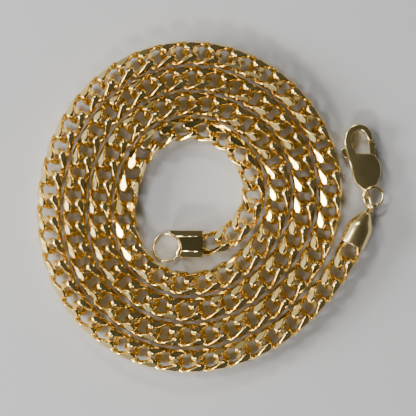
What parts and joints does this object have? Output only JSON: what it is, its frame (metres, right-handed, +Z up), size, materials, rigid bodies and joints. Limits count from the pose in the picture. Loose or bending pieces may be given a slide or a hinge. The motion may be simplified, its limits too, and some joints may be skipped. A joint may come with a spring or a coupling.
{
  "type": "franco chain necklace",
  "caption": "Yellow gold franco chain necklace lying open in a flat coil, with end caps, a large end ring, jump rings and a lobster clasp with a sprung lever.",
  "frame": {"origin": "middle of the box around the whole coiled necklace, on the table that it lies on", "axes": "+Z up from the table; +X towards the clasp, the right side of the picture; +Y towards the top of the picture"},
  "size_m": [0.0696, 0.0666, 0.0054],
  "materials": {
    "gold": "polished yellow gold"
  },
  "bodies": {
    "necklace": {"chain_outer": "gold", "chain_inner": "gold", "outer_end_cap": "gold", "inner_end_cap": "gold", "end_ring": "gold", "jump_ring_clasp": "gold", "jump_ring_cap": "gold", "clasp_body": "gold"},
    "lever": {"clasp_lever": "gold"}
  },
  "joints": [
    {"name": "clasp_lever_pivot", "type": "hinge", "parent": "necklace", "child": "lever", "pos_m": [0.03237, 0.01001, 0.0013], "axis": [0, 0, 1], "range_deg": [0, 20], "stiffness_Nm_per_rad": 0.0001, "springref_deg": -11.46}
  ]
}
